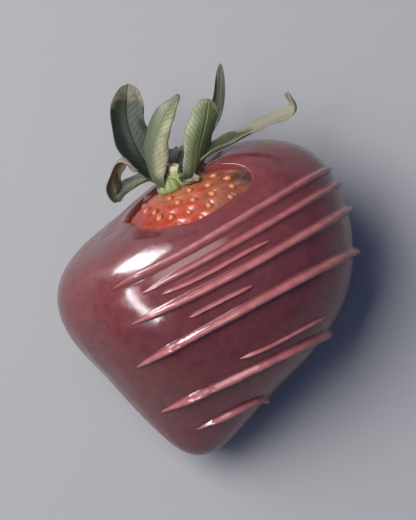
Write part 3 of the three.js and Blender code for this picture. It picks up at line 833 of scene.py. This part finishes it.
def sepal_material():
    """Sepal: full green to the stalk, pale to the fruit, dry at tip and edge, with painted shade.
    """
    material, shader = new_material(
        "sepal_leaf",
        Subsurface_Weight=0.15,
        Subsurface_Radius=(0.5, 0.8, 0.2),
        Subsurface_Scale=0.0006,
        Sheen_Weight=0.12,
        Sheen_Roughness=0.4,
    )
    tree = material.node_tree
    stalk_face = value_of(tree, "stalk_face")
    along = value_of(tree, "leaf_along")
    off_rib = combined(tree, "ABSOLUTE", value_of(tree, "leaf_across"), 0.0)
    rib = mapped(tree, off_rib, 0.02, 0.12, 1.0, 0.0)
    slanted = combined(tree, "SUBTRACT", along, combined(tree, "MULTIPLY", off_rib, VEIN_SLANT))
    veins = combined(tree, "MULTIPLY", slanted, VEIN_PAIRS * 2 * math.pi)
    veins = combined(tree, "SINE", veins, 0.0)
    veins = mapped(tree, veins, 0.72, 1.0, 0.0, 0.5)
    # Painted shade: the sepal's green and its pale are both darkened towards the shade colour.
    deepness = value_of(tree, "deepness")
    green = blended(tree, stalk_face, LEAF_UNDER, LEAF_GREEN)
    green = blended(tree, deepness, green, LEAF_PAINTED_SHADE)
    pale = blended(tree, stalk_face, LEAF_UNDER_PALE, LEAF_PALE)
    with_tissue(tree, shader, {
        "Green": blended(tree, value_of(tree, "bleached"), green, LEAF_BLEACHED),
        "Pale": blended(tree, deepness, pale, LEAF_PAINTED_SHADE),
        "Dry": LEAF_DRY,
        "Vein": combined(tree, "MAXIMUM", rib, veins),
        "Drying": value_of(tree, "drying"),
    }, bump=0.12)
    return material


def stem_material(name, green, cut):
    """Dome or stalk: the same tissue, fresher, and drier where it was cut."""
    material, shader = new_material(
        name,
        Subsurface_Weight=0.15,
        Subsurface_Radius=(0.5, 0.8, 0.2),
        Subsurface_Scale=0.0008,
        Sheen_Weight=0.2,
    )
    tree = material.node_tree
    with_tissue(tree, shader, {
        "Green": green,
        "Pale": HUB_PALE,
        "Dry": STALK_CUT,
        "Vein": mapped(tree, noise_at(tree, scale=1300, detail=1), 0.55, 0.75, 0.0, 0.5),
        "Drying": mapped(tree, value_of(tree, "piece_along"), *cut),
    }, bump=0.15)
    return material


sepal_leaf = sepal_material()
for name, sepal in SEPALS.items():
    finished(make_sepal(name, *sepal), sepal_leaf, "calyx", "calyx")
hub = turned_on_crown("calyx_dome", HUB_PROFILE, HUB_COLUMNS, HUB_AXIS, HUB_UNEVENNESS)
finished(hub, stem_material("calyx_dome", HUB_GREEN, NEVER_CUT), "calyx", "calyx")
stalk = turned_on_crown("stalk", STALK_PROFILE, STALK_COLUMNS, STALK, STALK_UNEVENNESS)
finished(stalk, stem_material("stalk", STALK_GREEN, CUT_STALK), "calyx", "calyx")

# ---- The coat ----
# Milk chocolate, set from one dip: about a millimetre and a half thick, glossy, with slight runs
# down its sides. Where the dip ended it ran thin, warm in tone, and set tight to the fruit.

COAT_THICKNESS = 1.5
RIM_THICKNESS = 0.8
RIM_THICKENING = 0.17
RIM_HOLD = 0.07
RIM_SINK = 0.2
TIP_CAP = 0.05
COAT_COLUMNS = 280
COAT_ROWS = 120
INNER_ROWS = 24
LIP_STEPS = 10
# How the rows crowd towards the rim, inside and outside.
INNER_CROWDING = 2
OUTER_CROWDING = 1.15
OFF_RIM_AT_TIP = 40.0
RUN_DEPTH = 0.07
RUN_COUNT = 17
RUN_WANDER = 3
RUN_WANDER_SCALE = 0.05
RUN_SCALE = 0.11
RUNS_START = (0.5, 1.0)
RUNS_END = (2.4, 2.9)
SWELL_DEPTH = 0.1
SWELL_SCALE = 0.09
FOOT_CLEAR = 0.06
CHOCOLATE = colour(112, 57, 60)
CHOCOLATE_THIN = colour(122, 52, 47)
CHOCOLATE_SHADE = colour(38, 23, 20)
BLOOM = colour(190, 150, 140)


def noise_values(points, scale):
    """Smooth noise at points, about -1 to 1, with scale in features to a mm."""
    return np.array([noise.noise(Vector(p)) for p in np.asarray(points) * scale])


def coat_relief(points, from_crown, around):
    """The coat's own unevenness: long runs towards the tip, and broad soft swells."""
    wander = RUN_WANDER * noise_values(points, RUN_WANDER_SCALE)
    runs = np.sin(RUN_COUNT * around + wander) * noise_values(points, RUN_SCALE)
    fade = smoothstep(from_crown, *RUNS_START) * (1 - smoothstep(from_crown, *RUNS_END))
    return RUN_DEPTH * runs * fade + SWELL_DEPTH * noise_values(points, SWELL_SCALE)


def coat_grid():
    """Rings of the closed shell: up the inside, round the lip, and down the outside.

    The inside holds off the skin by the fit gap, and closes on it at the rim.
    """
    around = np.arange(COAT_COLUMNS) * 2 * np.pi / COAT_COLUMNS
    rim = rim_at(around)
    reach = np.pi - TIP_CAP - rim
    inside = -RIM_SINK
    outside = FIT_GAP + RIM_THICKNESS
    places, grown = [], []
    for share in np.linspace(1, 0, INNER_ROWS) ** INNER_CROWDING:
        places.append(rim + reach * share)
        grown.append(inside + (FIT_GAP - inside) * smoothstep(places[-1] - rim, 0, RIM_HOLD))
    for step in range(LIP_STEPS):
        turn = np.pi * (1 - (step + 0.5) / LIP_STEPS)
        places.append(rim - math.sin(turn) * RIM_THICKNESS / FRUIT_WIDTH)
        lip = inside + (outside - inside) * (1 + math.cos(turn)) / 2
        grown.append(np.full(COAT_COLUMNS, lip))
    for share in np.linspace(0, 1, COAT_ROWS) ** OUTER_CROWDING:
        places.append(rim + reach * share)
        thickening = smoothstep(places[-1] - rim, 0, RIM_THICKENING)
        grown.append(outside + (COAT_THICKNESS - RIM_THICKNESS) * thickening)
    return np.ravel(places), np.tile(around, len(places)), np.ravel(grown), len(places)


def make_coat():
    """The chocolate shell. Its underside stops just above the table, inside the foot."""
    from_crown, around, grown, rings = coat_grid()
    full = FIT_GAP + COAT_THICKNESS
    plain = grown_skin(from_crown, around, grown)
    relief = coat_relief(plain, from_crown, around) * smoothstep(grown, FIT_GAP, full)
    shell = grown_skin(from_crown, around, grown + relief)
    ends = grown_skin(np.full(2, np.pi), np.zeros(2), np.array((FIT_GAP, full)))
    points = np.vstack((ends[0], shell, ends[1]))
    points[:, 2] = np.maximum(points[:, 2], FOOT_CLEAR)
    off_rim = (from_crown - rim_at(around)) * FRUIT_WIDTH / 2
    off_rim = with_ends(off_rim, OFF_RIM_AT_TIP, OFF_RIM_AT_TIP)
    faces = ring_faces(rings, COAT_COLUMNS)
    return make_piece("chocolate_coat_shell", points, faces, off_rim=off_rim)


def set_chocolate():
    """Shader group: set chocolate, faintly mottled, with tiny pits and a breath of bloom."""
    kinds = {"Chocolate": "Color", "Warm": "Color", "Thin_or_off_crest": "Float"}
    group, given = new_group("set_chocolate", kinds)
    broad = mapped(group, noise_at(group, scale=110), 0.3, 0.7, 0.0, 0.3)
    mottle = noise_at(group, scale=620, detail=4, roughness=0.6)
    speck = noise_at(group, scale=4200, roughness=0.6)
    tone = blended(group, broad, given["Chocolate"], given["Warm"])
    tone = blended(group, mapped(group, mottle, 0.36, 0.66, 0.22, 0.0), tone, CHOCOLATE_SHADE)
    tone = blended(group, mapped(group, speck, 0.6, 0.8, 0.0, 0.16), tone, BLOOM)
    tone = blended(group, given["Thin_or_off_crest"], tone, given["Warm"])
    pits = add_node(group, "TexVoronoi", feature="F1")
    place = add_node(group, "TexCoord").outputs["Object"]
    set_inputs(group, pits, {"Vector": place, "Scale": 520.0})
    rare = mapped(group, noise_at(group, scale=240, detail=1), 0.58, 0.7)
    pit = mapped(group, pits.outputs["Distance"], 0.04, 0.13, 1.0, 0.0)
    pit = combined(group, "MULTIPLY", pit, rare)
    set_inputs(group, group.nodes.new("NodeGroupOutput"), {
        "Color": tone,
        "Roughness": mapped(group, mottle, 0.3, 0.7, 0.12, 0.22),
        "Height": combined(group, "SUBTRACT", combined(group, "MULTIPLY", mottle, 0.3), pit),
    })
    return group


SET_CHOCOLATE = set_chocolate()


def chocolate_material(name, tone, warm, thin_or_off_crest=None):
    """Set milk chocolate, glossy and a little translucent, and warmer where it is thin.

    On a drizzle thread the mask marks its foot instead, which takes the coat's colour, so that
    its lighter crest is a painted highlight.
    """
    material, shader = new_material(
        name,
        Subsurface_Weight=0.12,
        Subsurface_Radius=(1.0, 0.45, 0.25),
        Subsurface_Scale=0.0009,
    )
    tree = material.node_tree
    made = add_node(tree, "Group", node_tree=SET_CHOCOLATE)
    set_inputs(tree, made, {"Chocolate": tone, "Warm": warm})
    if thin_or_off_crest:
        set_inputs(tree, made, {"Thin_or_off_crest": thin_or_off_crest(tree)})
    set_inputs(tree, shader, {
        "Base Color": made.outputs["Color"],
        "Roughness": made.outputs["Roughness"],
        "Normal": bumped(tree, made.outputs["Height"], 0.05),
    })
    return material


def thin_at_rim(tree):
    """How thin the coat is: most at its lip, and not at all from 1.6 mm on."""
    return mapped(tree, value_of(tree, "off_rim"), -0.3, 1.6, 0.4, 0.0)


coat = make_coat()
coat_chocolate = chocolate_material("milk_chocolate_coat", CHOCOLATE, CHOCOLATE_THIN, thin_at_rim)
finished(coat, coat_chocolate, "chocolate", "chocolate_coat")

# ---- The foot ----
# Where the wet berry was laid down, the chocolate spread in a thin puddle and set flat against
# the sheet. It is one with the coat, and all there is to stop the berry rolling.

FOOT_HALF_WIDTH = 7.4
FOOT_HALF_LENGTH = 10.5
FOOT_OFFSET = np.array((-2.2, 5.2, 0.0))
FOOT_SOLE = (0.6, 0.985)
FOOT_SLOPE = ((1.0, 0.02), (1.0, 0.15), (0.98, 0.4), (0.9, 0.62), (0.72, 1.36), (0.5, 2.2))
FOOT_WAVES = ((3, 0.05, 0.6), (7, 0.035, 2.0))
FOOT_COLUMNS = 120
FOOT_STEPS = 4
CHOCOLATE_WARM = colour(124, 64, 65)


def make_foot():
    """The set puddle: flat below, with a soft edge, rising into the coat."""
    around = np.arange(FOOT_COLUMNS) * 2 * np.pi / FOOT_COLUMNS
    centre = np.array((MIDDLE[0], MIDDLE[1], 0.0)) + FOOT_OFFSET
    slope = [(share, height, 0.0) for share, height in FOOT_SLOPE]
    slope = smooth_run(slope, np.linspace(0, 1, FOOT_STEPS * len(FOOT_SLOPE)))
    ring = np.stack((FOOT_HALF_WIDTH * np.cos(around), FOOT_HALF_LENGTH * np.sin(around)), axis=-1)
    ring *= (1 + waves(FOOT_WAVES, around))[:, None]
    levels = [(share, 0.0) for share in FOOT_SOLE] + [(share, height) for share, height, _ in slope]
    rings = [
        np.column_stack((ring * share, np.full(FOOT_COLUMNS, height))) for share, height in levels
    ]
    points = np.vstack(((0, 0, 0), *rings, (0, 0, FOOT_SLOPE[-1][1]))) + centre
    points[:, 2] = np.maximum(points[:, 2], 0)
    return make_piece("coat_foot", points, ring_faces(len(rings), FOOT_COLUMNS))


foot_chocolate = chocolate_material("milk_chocolate_foot", CHOCOLATE, CHOCOLATE_WARM)
finished(make_foot(), foot_chocolate, "chocolate", "chocolate_coat")

# ---- The drizzle ----
# Thin threads of the same chocolate, thrown across the set coat in one direction. Each starts
# as a fine point, runs over the top in a round ridge that melts into the coat at its foot, and
# thins out down the far flank. Their crests are painted lighter than the coat, a painted
# highlight.

THREADS_TURN = math.radians(28.5)
THREAD_HEIGHT = 0.7
THREAD_STEP = math.radians(1.1)
THREAD_SINK = 0.5
THREAD_POINT = 0.1
THREAD_START = (-0.05, 0.12)
THREAD_END = (0.85, 1.03)
END_THINNING = 0.6
# A thread bows once to one side and half as long to the other.
BOW_RUN = 1.5 * math.pi
# The unevenness of its width, slow and quick: the share, and features to a mm.
SLOW_SWELL = 0.16
SLOW_SWELL_SCALE = 0.32
QUICK_SWELL = 0.07
QUICK_SWELL_SCALE = 1.1
# How far the noise is moved on from thread to thread, and for the quick swell.
SLOW_SWELL_APART = 31
QUICK_SWELL_APART = 7
# For each: where it starts along its line and how far the line is off the middle, its slant,
# the slope of the far flank where it ends, how much it bows, and its width.
THREADS = (
    (-12, 9.3, 0.3, 8, -0.6, 1.35),
    (-8.5, 6.4, 1.4, -34, -0.65, 1.25),
    (-6, 4.9, -2.2, 60, -0.3, 0.8),
    (-12, 3.2, -0.2, -18, -0.8, 1.4),
    (-4, -0.1, -1.2, 72, 0, 0.7),
    (-14.5, -2.7, -0.1, -40, -0.1, 1.45),
    (0, -9.1, -2.1, 30, -0.2, 0.7),
    (-14.5, -10.4, -2.3, -28, -0.15, 1.4),
    (-11, -15.4, -2.7, -12, 0.2, 1.2),
)
# The ridge's section: offsets in half widths, and heights as shares of the ridge's height.
RIDGE_SIDE = np.array((-1.6, -1.3, -1.1, -0.92, -0.75, -0.55, -0.28))
RIDGE_SPREAD = 0.82
RIDGE_POWER = 3
RIDGE_SUNK = 0.03
RIDGE_OFFSETS = np.concatenate((RIDGE_SIDE, [0], -RIDGE_SIDE[::-1]))
RIDGE_HEIGHTS = np.exp(-((np.abs(RIDGE_OFFSETS) / RIDGE_SPREAD) ** RIDGE_POWER)) - RIDGE_SUNK
FAR = 2 * FRUIT_LENGTH
# The crest colour of the threads: lighter than the coat though they are the same chocolate, a
# painted highlight.
DRIZZLE_PAINTED_HIGHLIGHT = colour(172, 104, 102)

coat_surface = BVHTree.FromObject(coat, bpy.context.evaluated_depsgraph_get())


def looked_at(start, way):
    """The first place of the coat from a point in a direction, in mm."""
    return np.array(coat_surface.ray_cast(Vector(start * MM), Vector(way))[0]) / MM


def thread_line(start, across, drift, end, bow):
    """A thread's middle line on the coat. It lies in one upright plane, as it fell."""
    turn = THREADS_TURN + math.atan2(drift, FRUIT_WIDTH)
    run = level(turn)
    off = np.array((-math.sin(turn), math.cos(turn), 0.0))
    cosine, sine = math.cos(THREADS_TURN), math.sin(THREADS_TURN)
    place = np.array((start * cosine - across * sine, start * sine + across * cosine, 0.0))
    centre = MIDDLE + off * (place @ off)
    head = looked_at(np.array((MIDDLE[0] + place[0], MIDDLE[1] + place[1], FAR)), (0, 0, -1))
    first = math.atan2(head[2] - centre[2], (head - centre) @ run)
    last = math.radians(end)
    steps = math.ceil((first - last) / THREAD_STEP)
    shares = np.linspace(0, 1, steps + 1)
    line = []
    for share in shares:
        angle = first + (last - first) * share
        ray = run * math.cos(angle) + np.array((0, 0, math.sin(angle)))
        line.append(looked_at(centre + ray * FAR + off * bow * math.sin(BOW_RUN * share), -ray))
    return shares, np.array(line)


def make_thread(number, start, across, drift, end, bow, width):
    """One thread of drizzle, a closed ridge sunk in the coat."""
    shares, line = thread_line(start, across, drift, end, bow)
    ahead = unit(np.gradient(line, axis=0))
    swell = smoothstep(shares, *THREAD_START) * (1 - END_THINNING * smoothstep(shares, *THREAD_END))
    slow = SLOW_SWELL * noise_values(line + SLOW_SWELL_APART * number, SLOW_SWELL_SCALE)
    swell *= 1 + slow + QUICK_SWELL * noise_values(line + QUICK_SWELL_APART, QUICK_SWELL_SCALE)
    rings = []
    for place, way, full in zip(line, ahead, swell):
        normal = np.array(coat_surface.find_nearest(Vector(place * MM))[1])
        side = unit(np.cross(way, normal))
        ridge, root = [], []
        for offset, height in zip(RIDGE_OFFSETS, RIDGE_HEIGHTS):
            wanted = place + side * offset * width / 2 * full
            beside, out, _, _ = coat_surface.find_nearest(Vector(wanted * MM))
            beside, out = np.array(beside) / MM, np.array(out)
            ridge.append(beside + out * width * THREAD_HEIGHT * full * height)
            root.append(beside - out * THREAD_SINK * min(1, full))
        rings.append(ridge + root[1:-1][::-1])
    count = len(rings[0])
    head = line[0] - ahead[0] * THREAD_POINT
    tail = line[-1] + ahead[-1] * THREAD_POINT
    ring_crest = np.concatenate((RIDGE_HEIGHTS, np.zeros(count - len(RIDGE_HEIGHTS))))
    crest = with_ends(np.tile(ring_crest, len(rings)))
    faces = ring_faces(len(rings), count)
    return make_piece(f"drizzle_{number}", np.vstack((head, *rings, tail)), faces, crest=crest)


def painted_crest_highlight(tree):
    """The coat's colour at a thread's foot and none on its crest, where the painted highlight
    stays.
    """
    return mapped(tree, value_of(tree, "crest"), 0.05, 0.5, 0.9, 0.0)


drizzle_chocolate = chocolate_material("milk_chocolate_drizzle", DRIZZLE_PAINTED_HIGHLIGHT, CHOCOLATE, painted_crest_highlight)
for number, thread in enumerate(THREADS, 1):
    finished(make_thread(number, *thread), drizzle_chocolate, "chocolate", "chocolate_coat")

# ---- The table, the light and the camera ----
# A plain pale table. A window, its sill and a glow above show only as lights on the chocolate,
# and the soft light on matt surfaces comes from the window's side and from above. The camera
# looks almost straight down.

TABLE_SIZE = 1.6
TABLE_COLOUR = colour(152, 153, 152)
VIEW_HEIGHT = 0.081
VIEW_DISTANCE = 0.5
VIEW_ELEVATION = math.radians(87)
SENSOR = 24.0
NEAREST = 0.01
ROOM_COLOUR = (0.4, 0.5, 1.0, 1.0)
ROOM_STRENGTH = 0.25


def make_table():
    """A wide matt table with the faintest texture."""
    half = TABLE_SIZE / 2
    mesh = bpy.data.meshes.new("table")
    corners = [(-half, -half, 0), (half, -half, 0), (half, half, 0), (-half, half, 0)]
    mesh.from_pydata(corners, [], [(0, 1, 2, 3)])
    table = bpy.data.objects.new("table", mesh)
    bpy.context.scene.collection.objects.link(table)
    material, shader = new_material("pale_table", Base_Color=TABLE_COLOUR, Roughness=0.85)
    tree = material.node_tree
    texture = bumped(tree, noise_at(tree, scale=900, detail=3), 0.02)
    set_inputs(tree, shader, {"Normal": texture})
    mesh.materials.append(material)


def aimed(name, data, place, target):
    """A light or camera at a place, turned to a target."""
    thing = bpy.data.objects.new(name, data)
    bpy.context.scene.collection.objects.link(thing)
    thing.location = place
    thing.rotation_euler = (Vector(target) - Vector(place)).to_track_quat("-Z", "Y").to_euler()
    return thing


def make_light(name, way, distance, width, height, power, tint, mirrored):
    """A rectangular soft light, in a direction from the berry's middle.

    A mirrored one shows on glossy surfaces alone, and any other lights matt ones alone.
    """
    data = bpy.data.lights.new(name, "AREA")
    data.shape = "RECTANGLE"
    data.size = width
    data.size_y = height
    data.energy = power
    data.color = tint
    centre = MIDDLE * MM
    light = aimed(name, data, centre + unit(np.array(way, float)) * distance, centre)
    light.visible_diffuse = not mirrored
    light.visible_glossy = mirrored


def direction(azimuth, elevation):
    """The direction of an azimuth from +X and an elevation, both in degrees."""
    turn, rise = math.radians(azimuth), math.radians(elevation)
    return math.cos(turn) * math.cos(rise), math.sin(turn) * math.cos(rise), math.sin(rise)


COOL = (0.97, 0.95, 1.0)
WARM = (1.0, 0.97, 0.97)
# For each: where it is from the berry and how far off, its width and height, all in metres, its
# power in watts, its tint, and whether it is mirrored.
LIGHTS = {
    "window": (direction(146, 17), 0.3, 0.08, 0.17, 1.35, COOL, True),
    "window sill": (direction(214, 36), 0.5, 0.54, 0.042, 2.4, COOL, True),
    "window light": (direction(147, 40), 0.6, 0.3, 0.3, 0.8, COOL, False),
    "overhead": ((-0.43, 0.16, 0.88), 0.8, 0.46, 0.46, 8.4, WARM, False),
    "overhead glow": ((-0.33, 0.18, 0.93), 0.8, 0.5, 0.5, 3.2, WARM, True),
}

make_table()
for name, light in LIGHTS.items():
    make_light(name, *light)
world = bpy.data.worlds.new("room")
bpy.context.scene.world = world
world.use_nodes = True
background = world.node_tree.nodes["Background"]
background.inputs["Color"].default_value = ROOM_COLOUR
background.inputs["Strength"].default_value = ROOM_STRENGTH

low, high = (np.array(corner) for corner in CAD_BOX)
target = (low + high) / 2
lens = bpy.data.cameras.new("camera")
lens.sensor_fit = "VERTICAL"
lens.sensor_height = SENSOR
lens.lens = SENSOR * VIEW_DISTANCE / VIEW_HEIGHT
lens.clip_start = NEAREST
back = np.array((0.0, -math.cos(VIEW_ELEVATION), math.sin(VIEW_ELEVATION)))
camera = aimed("camera", lens, target + back * VIEW_DISTANCE, target)
bpy.context.scene.camera = camera
bpy.context.scene.view_settings.view_transform = "Standard"
